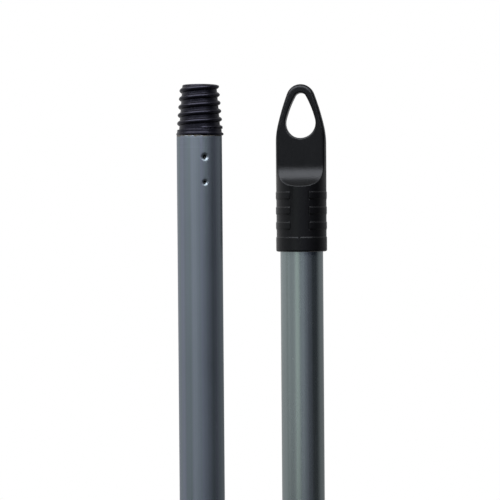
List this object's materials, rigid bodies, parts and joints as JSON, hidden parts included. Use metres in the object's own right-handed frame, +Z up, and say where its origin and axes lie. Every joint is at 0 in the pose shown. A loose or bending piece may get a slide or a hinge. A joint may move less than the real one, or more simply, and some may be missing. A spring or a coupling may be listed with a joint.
{
  "type": "screw-in tool handles",
  "caption": "Screw-in tool handles set head to tail: thin painted metal tubes, each with a conical threaded plastic tip and a plastic cap with a hanging eye.",
  "frame": {"origin": "on handle A's axis, halfway along its tube, where the wall clip that holds the pair up grips it", "axes": "+Z up along both handles, towards handle A's thread and handle B's cap; +Y away from the viewer, towards the wall; +X from handle A towards handle B"},
  "size_m": [0.0771, 0.0803, 1.2032],
  "materials": {
    "paint_bluish_grey": "satin metallic paint",
    "paint_greenish_grey": "semi-gloss metallic paint",
    "tip_plastic": "moulded, satin",
    "cap_plastic": "moulded, fine grain"
  },
  "bodies": {
    "handle_a": {"handle_a_tube": "paint_bluish_grey", "handle_a_threaded_tip": "tip_plastic", "handle_a_hanging_cap": "cap_plastic"},
    "handle_b": {"handle_b_tube": "paint_greenish_grey", "handle_b_threaded_tip": "tip_plastic", "handle_b_hanging_cap": "cap_plastic"}
  },
  "joints": [
    {"name": "handle_b_lift", "type": "slide", "parent": "handle_a", "child": "handle_b", "axis": [0, 0, 1], "range_m": [0, 0.3]}
  ]
}
